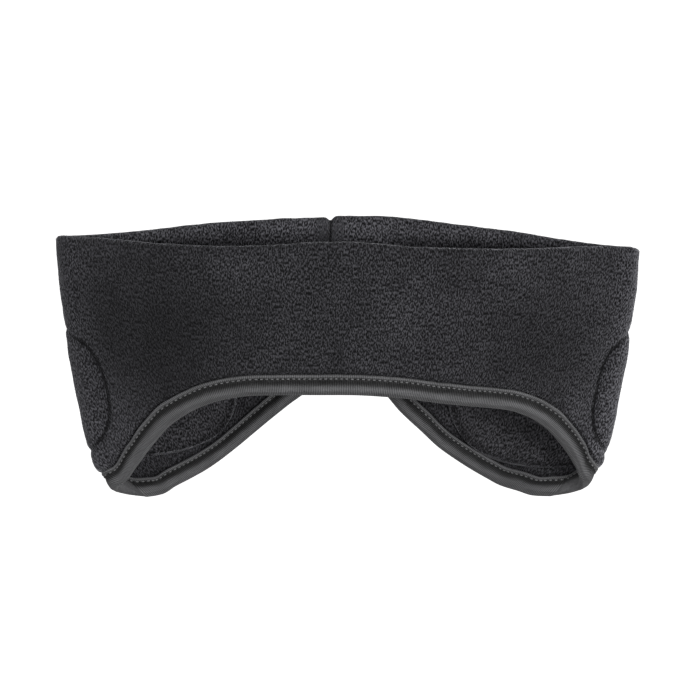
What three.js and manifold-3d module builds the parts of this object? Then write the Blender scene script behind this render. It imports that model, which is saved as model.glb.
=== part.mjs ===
// An ear warmer: a soft headband of doubled fleece, narrow over the brow and deep over each ear. It hangs
// open as a head holds it, pinched flat at both side folds. A knit tape is folded over its lower edge and
// a soft pad sits inside over each ear. Millimetres, +Z up, +X to the viewer's right, the front faces -Y.
// Z = 0 is the brow line, level with the front's lower edge at its centre.
import * as THREE from 'three';
import Module from 'manifold-3d';

// The band
const RIM_WIDTH = 251; // across the rim from side fold to side fold
const OPEN_DEPTH = 62; // front to back across the head opening
const SIDE_HEIGHT = 60.5; // brow line up to the rim at the side folds
const RIM_RISE = 6; // how much higher the rim stands at the centre than at the folds
const EAR_DROP = 55.5; // brow line down to the lowest point of the ear lobes
const FOLD_RADIUS = 7; // of the wall's middle, round a side fold at the ear
const WALL = 4; // the fleece folded double
const PRESSED = 2.6; // the same wall where the tape grips it
const FOLD_SHARE = 0.045; // half a side fold, as a share of half the way round
const PANEL_SHARE = 0.5 - FOLD_SHARE;

// The tape over the lower edge
const TAPE_HEIGHT = 9.2; // each of its two legs, measured square to the edge
const TAPE = 1.2; // one layer of it
const GAP = 0.3; // left between two pieces

// The centre-back seam
const SEAM_ACROSS = 7.8; // how far the seam hangs left of the centre
const SEAM_WIDTH = 1.8;
const SEAM_NOTCH = 1.6; // its dip in the rim

// The ear pads and the groove that their stitching pulls into the outside
const PAD_LENGTH = 90; // of the longer pad, round the band
const PAD_HEIGHT = 69;
const PAD = 3;
const PAD_EDGE = 0.9; // its thickness at the stitched edge
const PAD_HEM = 1; // from a pad's edge in to its stitching
const GROOVE_WIDTH = 3.4;
const GROOVE_DEPTH = 1;

const FULL_HEIGHT = SIDE_HEIGHT + EAR_DROP;

function table(columns, rows) {
  return rows.map((row) => Object.fromEntries(columns.map((column, i) => [column, row[i]])));
}

// Going down from the rim: width as a share of RIM_WIDTH, fold as a share of FOLD_RADIUS, depth as a share
// of OPEN_DEPTH. Down is a share of FULL_HEIGHT.
const BODY = table(['down', 'width', 'fold', 'depth'], [
  [0.0, 1.0, 0.33, 1.0],
  [0.08, 0.996, 0.4, 1.0],
  [0.15, 0.992, 0.49, 1.01],
  [0.3, 0.978, 0.76, 1.03],
  [0.45, 0.961, 0.93, 1.04],
  [0.6, 0.94, 0.99, 1.03],
  [0.75, 0.914, 1.0, 1.0],
  [0.84, 0.886, 1.0, 0.98],
  [0.92, 0.838, 0.99, 0.97],
  [1.0, 0.772, 0.97, 0.96],
  [1.1, 0.68, 0.95, 0.95],
]);

// The lower edge from the centre of the front (along 0) round the fold (0.5) to the centre of the back (1):
// how far it hangs under the brow line, as a share of EAR_DROP.
const HEM = table(['along', 'left', 'right'], [
  [0.0, 0.0, 0.0],
  [0.08, 0.0, 0.02],
  [0.16, 0.01, 0.07],
  [0.2, 0.035, 0.095],
  [0.24, 0.085, 0.12],
  [0.28, 0.17, 0.15],
  [0.32, 0.288, 0.218],
  [0.36, 0.458, 0.333],
  [0.4, 0.633, 0.498],
  [0.44, 0.77, 0.675],
  [0.47, 0.835, 0.795],
  [0.5, 0.91, 0.89],
  [0.545, 0.99, 0.985],
  [0.58, 0.98, 0.99],
  [0.62, 0.932, 0.968],
  [0.66, 0.886, 0.945],
  [0.7, 0.831, 0.897],
  [0.74, 0.757, 0.838],
  [0.78, 0.662, 0.765],
  [0.82, 0.547, 0.674],
  [0.86, 0.422, 0.542],
  [0.9, 0.297, 0.397],
  [0.94, 0.19, 0.22],
  [1.0, 0.1, 0.1],
]);

// The rim over the same way round: its height over SIDE_HEIGHT, as a share of RIM_RISE.
const RIM = table(['along', 'left', 'right'], [
  [0.0, 0.87, 0.87],
  [0.05, 0.85, 0.73],
  [0.1, 0.67, 0.5],
  [0.15, 0.55, 0.4],
  [0.22, 0.43, 0.23],
  [0.3, 0.42, 0.07],
  [0.38, 0.48, -0.05],
  [0.455, 0.48, -0.2],
  [0.5, 0.42, -0.38],
  [0.545, 0.37, -0.43],
  [0.6, 0.35, -0.37],
  [0.66, 0.38, -0.18],
  [0.72, 0.52, 0.1],
  [0.78, 0.67, 0.32],
  [0.84, 0.75, 0.57],
  [0.9, 0.88, 0.87],
  [0.95, 0.92, 1.05],
  [1.0, 1.05, 1.05],
]);

// Soft dents (deep above 0) and swells (below 0) of the panels. Along runs from the front's centre, minus to
// the left; up is a share of the panel's height there; deep is in millimetres.
const DENTS = table(['along', 'up', 'wide', 'high', 'deep'], [
  [-0.02, 0.25, 0.02, 0.16, 1.2],
  [0.11, 0.45, 0.07, 0.3, -1.0],
  [0.175, 0.3, 0.018, 0.22, 1.3],
  [0.24, 0.3, 0.02, 0.22, 1.2],
  [-0.25, 0.45, 0.09, 0.3, 1.4],
  [-0.21, 0.88, 0.06, 0.14, -0.8],
  [0.96, 0.8, 0.03, 0.3, -1.0],
]);

// The ear pads, each an oval laid round the side fold. Back is how far its middle lies behind the fold and
// halfLength its half length, as shares of PAD_LENGTH; halfHeight is a share of PAD_HEIGHT; down is how far
// its middle lies under the rim, as a share of FULL_HEIGHT. Above and below its middle the outline is an
// ellipse squared off by its own power, where 2 is a plain ellipse.
const PADS = table(['name', 'end', 'back', 'down', 'halfLength', 'halfHeight', 'above', 'below'], [
  ['left', -1, 0.289, 0.565, 0.494, 0.471, 2.6, 2.3],
  ['right', 1, 0.333, 0.595, 0.5, 0.5, 3.2, 2.1],
]).map((pad) => ({
  ...pad,
  back: pad.back * PAD_LENGTH,
  halfLength: pad.halfLength * PAD_LENGTH,
  halfHeight: pad.halfHeight * PAD_HEIGHT,
}));

// A smooth curve through a table that never overshoots its rows.
function lookUp(rows, key, column, at) {
  const last = rows.length - 1;
  if (at <= rows[0][key]) return rows[0][column];
  if (at >= rows[last][key]) return rows[last][column];
  const slope = (i) => (rows[i + 1][column] - rows[i][column]) / (rows[i + 1][key] - rows[i][key]);
  const tangent = (i) => {
    if (i === 0 || i === last) return 0;
    const product = slope(i - 1) * slope(i);
    return product <= 0 ? 0 : (2 * product) / (slope(i - 1) + slope(i));
  };
  const i = rows.findIndex((row) => row[key] > at) - 1;
  const span = rows[i + 1][key] - rows[i][key];
  const t = (at - rows[i][key]) / span;
  const rise = t * t * (3 - 2 * t);
  const start = t * (1 - t) * (1 - t) * span * tangent(i);
  const finish = t * t * (1 - t) * span * tangent(i + 1);
  return rows[i][column] * (1 - rise) + rows[i + 1][column] * rise + start - finish;
}

// Places round the band run from -1 (centre of the back) by the left fold (-0.5), the centre of the front (0)
// and the right fold (0.5) to 1, the centre of the back again.
function wrap(along) {
  if (along > 1) return along - 2;
  if (along < -1) return along + 2;
  return along;
}

const sideOf = (along) => (along < 0 ? 'left' : 'right');
const bell = (distance, width) => Math.exp(-((distance / width) ** 2));

function foldRadius(z) {
  return FOLD_RADIUS * lookUp(BODY, 'down', 'fold', (SIDE_HEIGHT - z) / FULL_HEIGHT);
}

// From the middle out to where a side fold begins
function reach(z) {
  const width = RIM_WIDTH * lookUp(BODY, 'down', 'width', (SIDE_HEIGHT - z) / FULL_HEIGHT);
  return width / 2 - WALL / 2 - foldRadius(z);
}

const SEAM_AT = SEAM_ACROSS / reach(SIDE_HEIGHT) * PANEL_SHARE - 1;

// Millimetres from the seam, round the band
function fromSeam(along) {
  return wrap(along - SEAM_AT) / PANEL_SHARE * reach(SIDE_HEIGHT);
}

function hem(along) {
  return -EAR_DROP * lookUp(HEM, 'along', sideOf(along), Math.abs(along));
}

function rim(along) {
  const rise = RIM_RISE * lookUp(RIM, 'along', sideOf(along), Math.abs(along));
  return SIDE_HEIGHT + rise - SEAM_NOTCH * bell(fromSeam(along), 2 * SEAM_WIDTH);
}

function dent(along, z) {
  const up = (z - hem(along)) / (rim(along) - hem(along));
  const parts = DENTS.map((row) => row.deep * bell(along - row.along, row.wide) * bell(up - row.up, row.high));
  return parts.reduce((sum, part) => sum + part, 0);
}

// A point of the wall's middle
function middle(place, z) {
  const along = wrap(place);
  const end = along < 0 ? -1 : 1;
  const radius = foldRadius(z);
  const fromFold = Math.abs(along) - 0.5;
  if (Math.abs(fromFold) <= FOLD_SHARE) {
    const turn = (fromFold / FOLD_SHARE) * (Math.PI / 2);
    return new THREE.Vector3(end * (reach(z) + radius * Math.cos(turn)), radius * Math.sin(turn), z);
  }
  const across = (0.5 - Math.abs(fromFold)) / PANEL_SHARE;
  const depth = OPEN_DEPTH * lookUp(BODY, 'down', 'depth', (SIDE_HEIGHT - z) / FULL_HEIGHT);
  const bow = (depth / 2 - WALL / 2 - radius) * (1 - across ** 3) ** 1.6;
  const y = radius + bow - dent(along, z);
  return new THREE.Vector3(end * across * reach(z), Math.sign(fromFold) * y, z);
}

// A point off the wall's middle, outward where the offset is above 0
function offPoint(along, z, offset) {
  const ahead = middle(along + 0.002, z).sub(middle(along - 0.002, z));
  const up = middle(along, z + 1).sub(middle(along, z - 1));
  return middle(along, z).addScaledVector(ahead.cross(up).normalize(), offset);
}

// The height that a strip takes up beside the sloping lower edge, for each millimetre of its width
function lean(along) {
  const before = middle(along - 0.01, hem(wrap(along - 0.01)));
  const edge = middle(along + 0.01, hem(wrap(along + 0.01))).sub(before).normalize();
  const upward = middle(along, hem(along) + 1).sub(middle(along, hem(along)));
  return 1 / upward.cross(edge).length();
}

// The places where the pieces get a cross-section: even steps on the panels, finer ones round the folds and
// at the seam.
function stations() {
  const places = [];
  for (const end of [-1, 1]) {
    for (let i = 0; i <= 15; i += 1) places.push((end * PANEL_SHARE * i) / 15);
    for (let i = -3; i <= 3; i += 1) places.push(end * (0.5 + (FOLD_SHARE * i) / 4));
    for (let i = 0; i < 16; i += 1) places.push(end * (1 - PANEL_SHARE + (PANEL_SHARE * i) / 16));
  }
  const apart = (a, b) => Math.abs(wrap(a - b)) > 0.012;
  const across = [-2.2, -0.9, 0, 0.9, 2.2].map((share) => share * SEAM_WIDTH);
  const seam = across.map((mm) => wrap(SEAM_AT + (mm / reach(SIDE_HEIGHT)) * PANEL_SHARE));
  const kept = places.filter((place, i) => i === 0 || place !== 0);
  return [...kept.filter((place) => seam.every((at) => apart(place, at))), ...seam].sort((a, b) => a - b);
}

// A closed ring through cross-sections that all have the same number of points
function ring(sections, closed = true) {
  const count = sections[0].length;
  const points = sections.flat();
  const faces = [];
  const last = closed ? sections.length : sections.length - 1;
  for (let i = 0; i < last; i += 1) {
    for (let j = 0; j < count; j += 1) {
      const a = i * count + j;
      const b = i * count + ((j + 1) % count);
      const c = ((i + 1) % sections.length) * count + ((j + 1) % count);
      const d = ((i + 1) % sections.length) * count + j;
      const short = points[a].distanceTo(points[c]) < points[b].distanceTo(points[d]);
      faces.push(...(short ? [a, b, c, a, c, d] : [a, b, d, b, c, d]));
    }
  }
  if (!closed) {
    const far = (sections.length - 1) * count;
    for (let j = 1; j < count - 1; j += 1) faces.push(0, j + 1, j, far, far + j, far + j + 1);
  }
  return outwardGeometry(points, faces);
}

function outwardGeometry(points, faces) {
  let volume = 0;
  for (let i = 0; i < faces.length; i += 3) {
    const [a, b, c] = [points[faces[i]], points[faces[i + 1]], points[faces[i + 2]]];
    volume += a.dot(b.clone().cross(c));
  }
  const geometry = new THREE.BufferGeometry();
  geometry.setAttribute('position', new THREE.Float32BufferAttribute(points.flatMap((p) => [p.x, p.y, p.z]), 3));
  geometry.setIndex(volume > 0 ? faces : faces.reverse());
  return geometry;
}

// The wall, up the outside, over the rim and down the inside
function bandSection(along) {
  const slant = lean(along);
  const low = hem(along) + (TAPE + 2 * GAP) * slant;
  const top = rim(along) - WALL / 2;
  const pinch = 1 - 0.5 * bell(fromSeam(along), SEAM_WIDTH);
  const free = hem(along) + (TAPE_HEIGHT + GAP) * slant;
  const gripped = hem(along) + (TAPE_HEIGHT * slant) / 2;
  const outside = [[low, PRESSED * 0.3], ...[low + slant, gripped, free].map((z) => [z, PRESSED / 2])];
  for (let i = 0; i < 7; i += 1) {
    outside.push([free + 1.5 + (top - free - 1.5) * (i / 7) ** 1.3, (WALL / 2) * pinch]);
  }
  const inside = outside.map(([z, offset]) => [z, -offset]);
  const over = [0, 45, 90, 135, 180].map((degrees) => {
    const angle = THREE.MathUtils.degToRad(degrees);
    return [top + (WALL / 2) * Math.sin(angle), (WALL / 2) * pinch * Math.cos(angle)];
  });
  return [...outside, ...over, ...inside.reverse()].map(([z, offset]) => offPoint(along, z, offset));
}

// One leg of the tape from its turned upper edge down to its bulge: height as a share of the leg, out as a
// share of the tape's thickness. The stitch row pulls it in under the turned edge.
const LEG = table(['height', 'out'], [
  [1.0, 0.55],
  [0.96, 1.1],
  [0.87, 1.15],
  [0.78, 0.8],
  [0.6, 1.3],
  [0.34, 1.5],
  [0.1, 1.2],
]);

function tapeSection(along) {
  const slant = lean(along);
  const base = PRESSED / 2 + GAP;
  const edge = hem(along);
  const height = TAPE_HEIGHT * slant;
  const leg = (way) => {
    const outer = LEG.map((row) => [edge + row.height * height, way * (base + row.out * TAPE)]);
    return [[edge + height, way * base], ...outer];
  };
  const outside = leg(1);
  const inside = leg(-1);
  const below = [[edge, base * 0.7], [edge, -base * 0.7]];
  const floor = edge + TAPE * slant;
  const channel = [[edge + height / 2, -base], [floor, -base], [floor, base], [edge + height / 2, base]];
  const loop = [...outside, ...below, ...inside.reverse(), ...channel];
  return loop.map(([z, offset]) => offPoint(along, z, offset));
}

// Where a point lies round the band, by its distance behind the middle of a side fold
function besideFold(end, behind, z) {
  const quarter = foldRadius(z) * (Math.PI / 2);
  const turned = THREE.MathUtils.clamp(behind / quarter, -1, 1) * FOLD_SHARE;
  const past = Math.max(Math.abs(behind) - quarter, 0) / reach(z);
  return end * (0.5 + turned + Math.sign(behind) * past * PANEL_SHARE);
}

function behindFold(along, z) {
  const fromFold = Math.abs(along) - 0.5;
  const quarter = foldRadius(z) * (Math.PI / 2);
  const panel = Math.max(Math.abs(fromFold) - FOLD_SHARE, 0) / PANEL_SHARE;
  const turned = Math.min(Math.abs(fromFold) / FOLD_SHARE, 1) * quarter;
  return Math.sign(fromFold) * (turned + panel * reach(z));
}

// The height of a pad's outline over its middle (or under it, where way is -1), as a share of its half
// height, at a share of its half length
function outline(pad, way, lengthShare) {
  const power = way > 0 ? pad.above : pad.below;
  return (1 - Math.abs(lengthShare) ** power) ** (1 / power);
}

// A pad puffs inward from the wall and thins to its stitched edge.
function padGeometry(pad) {
  const centre = SIDE_HEIGHT - pad.down * FULL_HEIGHT;
  const farAlong = (way) => besideFold(pad.end, pad.back + way * pad.halfLength * 0.985, centre);
  const ends = [farAlong(-1), farAlong(1)].sort((a, b) => a - b);
  const inner = stations().filter((at) => at > ends[0] + 0.006 && at < ends[1] - 0.006);
  const sections = [ends[0], ...inner, ends[1]].map((along) => {
    const lengthShare = (behindFold(along, centre) - pad.back) / pad.halfLength;
    const rows = [];
    for (let i = 0; i <= 8; i += 1) {
      const heightShare = -Math.cos((i * Math.PI) / 8) * outline(pad, i - 4, lengthShare);
      const power = i > 4 ? pad.above : pad.below;
      const spread = Math.abs(lengthShare) ** power + Math.abs(heightShare) ** power;
      const thick = PAD_EDGE + (PAD - PAD_EDGE) * Math.sqrt(Math.max(1 - spread ** 2, 0));
      rows.push([centre + pad.halfHeight * heightShare, thick]);
    }
    const against = rows.map(([z]) => offPoint(along, z, -(WALL / 2 + GAP)));
    const facing = rows.map(([z, thick]) => offPoint(along, z, -(WALL / 2 + GAP + thick)));
    return [...against, ...facing.reverse()];
  });
  return ring(sections, false);
}

// The closed line of a pad's stitching on the outside, and the round tool that cuts its groove
function grooveTool(pad) {
  const centre = SIDE_HEIGHT - pad.down * FULL_HEIGHT;
  const radius = (GROOVE_WIDTH ** 2 / 4 + GROOVE_DEPTH ** 2) / (2 * GROOVE_DEPTH);
  const points = [];
  for (let i = 0; i < 40; i += 1) {
    const angle = (i * Math.PI) / 20;
    const power = angle < Math.PI ? pad.above : pad.below;
    const squared = (share) => Math.sign(share) * Math.abs(share) ** (2 / power);
    const z = centre + (pad.halfHeight - PAD_HEM) * squared(Math.sin(angle));
    const along = besideFold(pad.end, pad.back + (pad.halfLength - PAD_HEM) * squared(Math.cos(angle)), z);
    points.push(offPoint(along, z, WALL / 2 + radius - GROOVE_DEPTH));
  }
  const path = new THREE.CatmullRomCurve3(points, true);
  const sections = points.map((_, i) => {
    const at = path.getPoint(i / points.length);
    const forward = path.getTangent(i / points.length);
    const outward = new THREE.Vector3(at.x, at.y, 0).normalize();
    const beside = new THREE.Vector3().crossVectors(forward, outward).normalize();
    const over = new THREE.Vector3().crossVectors(beside, forward).normalize();
    return [0, 1, 2, 3, 4, 5, 6, 7].map((k) => {
      const turn = (k * Math.PI) / 4;
      const side = beside.clone().multiplyScalar(radius * Math.cos(turn));
      return at.clone().add(side).addScaledVector(over, radius * Math.sin(turn));
    });
  });
  return ring(sections);
}

const { Manifold, Mesh } = await Module().then((wasm) => {
  wasm.setup();
  return wasm;
});

function toManifold(geometry) {
  const vertProperties = new Float32Array(geometry.getAttribute('position').array);
  const triVerts = new Uint32Array(geometry.getIndex().array);
  return new Manifold(new Mesh({ numProp: 3, vertProperties, triVerts }));
}

function toGeometry(solid) {
  const mesh = solid.getMesh();
  const geometry = new THREE.BufferGeometry();
  geometry.setAttribute('position', new THREE.BufferAttribute(mesh.vertProperties, 3));
  geometry.setIndex(new THREE.BufferAttribute(mesh.triVerts, 1));
  return geometry;
}

function cut(geometry, tools) {
  const solid = tools.reduce((rest, tool) => rest.subtract(toManifold(tool)), toManifold(geometry));
  return toGeometry(solid.simplify(0.02));
}

const group = new THREE.Group();

function addPiece(name, geometry, color, roughness) {
  const flat = geometry.toNonIndexed();
  flat.computeVertexNormals();
  const material = new THREE.MeshStandardMaterial({ color, roughness, metalness: 0 });
  const mesh = new THREE.Mesh(flat, material);
  mesh.name = name;
  group.add(mesh);
}

addPiece('fleece_band', cut(ring(stations().map(bandSection)), PADS.map(grooveTool)), '#303033', 0.95);
addPiece('edge_binding', ring(stations().map(tapeSection)), '#4f4f52', 0.8);
for (const pad of PADS) addPiece(`ear_pad_${pad.name}`, padGeometry(pad), '#2c2c2e', 0.95);

export default group;
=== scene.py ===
import math
import random

import bmesh
import bpy
from mathutils import Matrix, Vector, noise


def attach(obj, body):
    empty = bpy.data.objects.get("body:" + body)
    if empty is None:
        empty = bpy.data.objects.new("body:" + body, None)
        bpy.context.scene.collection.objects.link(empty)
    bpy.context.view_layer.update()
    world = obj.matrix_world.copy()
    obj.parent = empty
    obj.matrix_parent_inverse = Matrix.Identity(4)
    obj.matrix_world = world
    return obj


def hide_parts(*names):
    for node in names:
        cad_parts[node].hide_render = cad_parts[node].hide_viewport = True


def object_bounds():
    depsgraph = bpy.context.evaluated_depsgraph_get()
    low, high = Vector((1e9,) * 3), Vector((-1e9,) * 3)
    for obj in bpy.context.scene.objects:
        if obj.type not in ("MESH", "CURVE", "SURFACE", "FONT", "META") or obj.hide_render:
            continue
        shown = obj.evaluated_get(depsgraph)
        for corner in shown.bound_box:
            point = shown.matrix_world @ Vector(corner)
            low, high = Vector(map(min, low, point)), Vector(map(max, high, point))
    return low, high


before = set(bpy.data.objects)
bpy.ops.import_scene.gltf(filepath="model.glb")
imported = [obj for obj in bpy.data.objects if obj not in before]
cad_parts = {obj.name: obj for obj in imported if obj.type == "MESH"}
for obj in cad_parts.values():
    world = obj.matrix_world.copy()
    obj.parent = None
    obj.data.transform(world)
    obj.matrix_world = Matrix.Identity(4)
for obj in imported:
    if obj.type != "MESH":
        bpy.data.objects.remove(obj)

# The look of an ear warmer: a headband of doubled charcoal fleece, open as a head holds it, with a ribbed
# knit tape stitched over its lower edge and a soft pad inside over each ear. Lengths are in millimetres, as
# in the solids, unless a comment says otherwise; the meshes are in metres.
MM = 0.001
cad_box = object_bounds()

# Measures

RIM_WIDTH = 251.0
OPEN_DEPTH = 62.0
SIDE_HEIGHT = 60.5
RIM_RISE = 6.0
EAR_DROP = 55.5
FOLD_RADIUS = 7.0
WALL = 4.0
PRESSED = 2.6
FOLD_SHARE = 0.045
PANEL_SHARE = 0.5 - FOLD_SHARE
TAPE_HEIGHT = 9.2
TAPE = 1.2
TURN = TAPE * 0.9  # how much of the tape's height its turn under the hem takes up
GAP = 0.3
SEAM_ACROSS = 7.8
SEAM_WIDTH = 1.8
SEAM_NOTCH = 1.6
PAD = 3.0
PAD_EDGE = 0.9
FULL_HEIGHT = SIDE_HEIGHT + EAR_DROP

# Going down from the rim, in shares of the full height: width, fold radius and depth as shares.
BODY = [
    (0.0, 1.0, 0.33, 1.0), (0.08, 0.996, 0.4, 1.0), (0.15, 0.992, 0.49, 1.01), (0.3, 0.978, 0.76, 1.03),
    (0.45, 0.961, 0.93, 1.04), (0.6, 0.94, 0.99, 1.03), (0.75, 0.914, 1.0, 1.0), (0.84, 0.886, 1.0, 0.98),
    (0.92, 0.838, 0.99, 0.97), (1.0, 0.772, 0.97, 0.96), (1.1, 0.68, 0.95, 0.95),
]
# Round from the front's centre (0) past the fold (0.5) to the back's centre (1), left and right side: how
# far the lower edge hangs, in shares of EAR_DROP, and how far the rim rises, in shares of RIM_RISE. The rim
# sinks a little more over the right fold here than in the solids.
HEM = [
    (0.0, 0.0, 0.0), (0.08, 0.0, 0.02), (0.16, 0.01, 0.07), (0.2, 0.035, 0.095), (0.24, 0.085, 0.12),
    (0.28, 0.17, 0.15), (0.32, 0.288, 0.218), (0.36, 0.458, 0.333), (0.4, 0.633, 0.498),
    (0.44, 0.77, 0.675), (0.47, 0.835, 0.795), (0.5, 0.91, 0.89), (0.545, 0.99, 0.985), (0.58, 0.98, 0.99),
    (0.62, 0.932, 0.968), (0.66, 0.886, 0.945), (0.7, 0.831, 0.897), (0.74, 0.757, 0.838),
    (0.78, 0.662, 0.765), (0.82, 0.547, 0.674), (0.86, 0.422, 0.542), (0.9, 0.297, 0.397),
    (0.94, 0.19, 0.22), (1.0, 0.1, 0.1),
]
RIM = [
    (0.0, 0.87, 0.87), (0.05, 0.85, 0.73), (0.1, 0.67, 0.5), (0.15, 0.55, 0.4), (0.22, 0.43, 0.23),
    (0.3, 0.42, 0.07), (0.38, 0.48, -0.05), (0.455, 0.48, -0.3), (0.5, 0.42, -0.5), (0.545, 0.37, -0.46),
    (0.6, 0.35, -0.37), (0.66, 0.38, -0.18), (0.72, 0.52, 0.1), (0.78, 0.67, 0.32), (0.84, 0.75, 0.57),
    (0.9, 0.88, 0.87), (0.95, 0.92, 1.05), (1.0, 1.05, 1.05),
]
# Soft dents (above 0) and swells of the panels: along, up, width, height, depth in millimetres.
DENTS = [
    (-0.02, 0.25, 0.02, 0.16, 1.2), (0.11, 0.45, 0.07, 0.3, -1.0), (0.175, 0.3, 0.018, 0.22, 1.3),
    (0.24, 0.3, 0.02, 0.22, 1.2), (-0.25, 0.45, 0.09, 0.3, 1.4), (-0.21, 0.88, 0.06, 0.14, -0.8),
    (0.96, 0.8, 0.03, 0.3, -1.0),
]
# Painted light and shade: where the fleece is lighter (above 0) or darker, standing in for broad shading
# and
# for the sheen near the side folds: along, up, width, height, share.
PAINTED_LIGHT_SPOTS = [
    (-0.31, 0.45, 0.11, 0.5, -0.66), (-0.41, 0.62, 0.04, 0.16, -0.26), (-0.42, 0.12, 0.06, 0.2, 0.85),
    (-0.2, 0.88, 0.07, 0.14, 0.28), (-0.495, 0.4, 0.05, 0.8, 0.55), (-0.02, 0.25, 0.02, 0.16, -0.28),
    (0.09, 0.42, 0.05, 0.42, 0.22), (0.18, 1.0, 0.03, 0.1, -0.25), (0.235, 0.35, 0.03, 0.5, -0.12),
    (0.27, 0.86, 0.035, 0.12, 0.35), (0.33, 0.42, 0.07, 0.3, -0.55), (0.44, 0.1, 0.06, 0.2, 0.6),
    (0.47, 1.0, 0.04, 0.2, 0.5), (0.495, 0.5, 0.045, 0.9, 1.25),
]
NEAR = 2.5  # a spot of either table is left out farther off than this many of its widths
# Painted light: the inner face grows lighter between two heights, where more light reaches it, above a
# painted shadow stripe where the front rim shades it. Painted shade: the rim's top is darker over the brow
# and fades out between two places on either side. Shares as in the table above, heights in millimetres.
INSIDE_PAINTED_LIGHT, INSIDE_PAINTED_LIGHT_FROM, INSIDE_PAINTED_LIGHT_TO = 1.0, 47, 58
PAINTED_SHADOW_STRIPE, STRIPE_AT, STRIPE_WIDTH = -0.3, 46, 6
RIM_PAINTED_SHADE, RIM_SHADE_FADES, RIM_SHADE_ENDS = -0.65, 0.3, 0.42
# The tape's leg from its turn under the hem up to its free edge: height and thickness as shares.
LEG = [
    (0.0, 0.95), (0.07, 1.5), (0.17, 1.85), (0.33, 1.75), (0.49, 1.35), (0.61, 0.8), (0.7, 0.42),
    (0.77, 0.36), (0.84, 0.8), (0.89, 1.15), (0.95, 1.15), (1.0, 0.7),
]
# The ear pads: side, distance behind the fold, down as a share of the full height, half length, half
# height, and the powers that square off their outline above and below the middle.
PADS = {
    "left": (-1, 26.01, 0.565, 44.46, 32.5, 2.6, 2.3),
    "right": (1, 29.97, 0.595, 45.0, 34.5, 3.2, 2.1),
}
PAD_HEM = 1.0  # from a pad's edge in to its stitching

# The band's form


def curve(rows, column, steps=600):
    """A smooth curve through one column of a table, which never overshoots its rows."""
    keys = [row[0] for row in rows]
    values = [row[column] for row in rows]
    last = len(rows) - 1
    slopes = [(values[i + 1] - values[i]) / (keys[i + 1] - keys[i]) for i in range(last)]
    tangents = [0.0] * (last + 1)
    for i in range(1, last):
        product = slopes[i - 1] * slopes[i]
        if product > 0:
            tangents[i] = 2 * product / (slopes[i - 1] + slopes[i])

    def exact(key):
        i = max(k for k in range(last) if keys[k] <= key or k == 0)
        span = keys[i + 1] - keys[i]
        t = (key - keys[i]) / span
        rise = t * t * (3 - 2 * t)
        ends = t * (1 - t) * (1 - t) * span * tangents[i] - t * t * (1 - t) * span * tangents[i + 1]
        return values[i] * (1 - rise) + values[i + 1] * rise + ends

    full = keys[last] - keys[0]
    samples = [exact(keys[0] + full * k / steps) for k in range(steps + 1)]

    def read(key):
        place = min(max((key - keys[0]) / full, 0.0), 1.0) * steps
        k = min(int(place), steps - 1)
        return samples[k] + (samples[k + 1] - samples[k]) * (place - k)

    return read


body_width, body_fold, body_depth = (curve(BODY, column) for column in (1, 2, 3))
hems = {-1: curve(HEM, 1), 1: curve(HEM, 2)}
rims = {-1: curve(RIM, 1), 1: curve(RIM, 2)}
leg_out = curve(LEG, 1)


def wrap(along):
    """Along runs once round the band, from -1 to 1; past the ends it starts again."""
    if along > 1:
        return along - 2
    return along + 2 if along < -1 else along


def bell(distance, width):
    """1 at no distance, about a third at one width, nearly 0 at two."""
    return math.exp(-((distance / width) ** 2))


def smooth(low, high, value):
    t = min(max((value - low) / (high - low), 0.0), 1.0)
    return t * t * (3 - 2 * t)


def down(z):
    """How far down from the rim a height is, as a share of the full height."""
    return (SIDE_HEIGHT - z) / FULL_HEIGHT


def fold_radius(z):
    return FOLD_RADIUS * body_fold(down(z))


def reach(z):
    return RIM_WIDTH * body_width(down(z)) / 2 - WALL / 2 - fold_radius(z)


TOP_REACH = reach(SIDE_HEIGHT)
SEAM_AT = SEAM_ACROSS / TOP_REACH * PANEL_SHARE - 1


def from_seam(along):
    """Millimetres from the seam at the back, round the band."""
    return wrap(along - SEAM_AT) / PANEL_SHARE * TOP_REACH


def side_of(along):
    return -1 if along < 0 else 1


def hem(along):
    return -EAR_DROP * hems[side_of(along)](abs(along))


def rim(along):
    rise = RIM_RISE * rims[side_of(along)](abs(along))
    return SIDE_HEIGHT + rise - SEAM_NOTCH * bell(from_seam(along), 0.8 * SEAM_WIDTH)


def spots_at(table, along, z):
    """What the soft spots of a table add up to there."""
    up = (z - hem(along)) / (rim(along) - hem(along))
    total = 0.0
    for at, height, wide, high, most in table:
        if abs(along - at) < NEAR * wide:
            total += most * bell(along - at, wide) * bell(up - height, high)
    return total


def plain_middle(along, z):
    """The middle of the wall, before its dents."""
    along = wrap(along)
    end = side_of(along)
    radius = fold_radius(z)
    out = reach(z)
    from_fold = abs(along) - 0.5
    if abs(from_fold) <= FOLD_SHARE:
        turn = from_fold / FOLD_SHARE * math.pi / 2
        return Vector((end * (out + radius * math.cos(turn)), radius * math.sin(turn), z))
    across = (0.5 - abs(from_fold)) / PANEL_SHARE
    depth = OPEN_DEPTH * body_depth(down(z))
    bow = (depth / 2 - WALL / 2 - radius) * (1 - across**3) ** 1.6
    return Vector((end * across * out, math.copysign(radius + bow, from_fold), z))


def on_wall(along, z, offset):
    """A point off the wall's middle, outward where the offset is above 0."""
    ahead = plain_middle(along + 0.002, z) - plain_middle(along - 0.002, z)
    up = plain_middle(along, z + 1) - plain_middle(along, z - 1)
    at = plain_middle(along, z)
    from_fold = abs(wrap(along)) - 0.5
    if abs(from_fold) > FOLD_SHARE:
        at.y -= math.copysign(spots_at(DENTS, wrap(along), z), from_fold)
    return at + ahead.cross(up).normalized() * offset


def lean(along):
    """The height a strip takes up beside the sloping lower edge, for each millimetre of its width."""
    before = plain_middle(along - 0.01, hem(wrap(along - 0.01)))
    edge = (plain_middle(along + 0.01, hem(wrap(along + 0.01))) - before).normalized()
    upward = plain_middle(along, hem(along) + 1) - plain_middle(along, hem(along))
    return 1 / upward.cross(edge).length


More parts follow.
